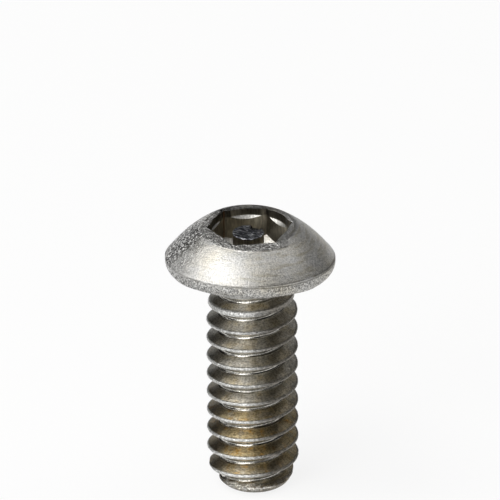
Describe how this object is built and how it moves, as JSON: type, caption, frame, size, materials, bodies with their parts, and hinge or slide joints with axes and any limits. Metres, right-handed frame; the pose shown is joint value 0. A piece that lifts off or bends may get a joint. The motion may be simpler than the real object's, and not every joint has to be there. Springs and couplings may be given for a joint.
{
  "type": "pin-in-hex button head machine screw",
  "caption": "Stainless button head machine screw with a right-hand thread to near the head and a hexagon socket that has a security pin on its floor.",
  "frame": {"origin": "centre of the bearing face, which is the flat underside of the head", "axes": "+Z along the screw's axis, out of the head; the point looks along -Z"},
  "size_m": [0.009, 0.009, 0.015],
  "materials": {
    "steel": "stainless steel, cold formed, tumbled satin head and rolled thread"
  },
  "bodies": {
    "root": {"button_head_screw": "steel"}
  },
  "joints": []
}
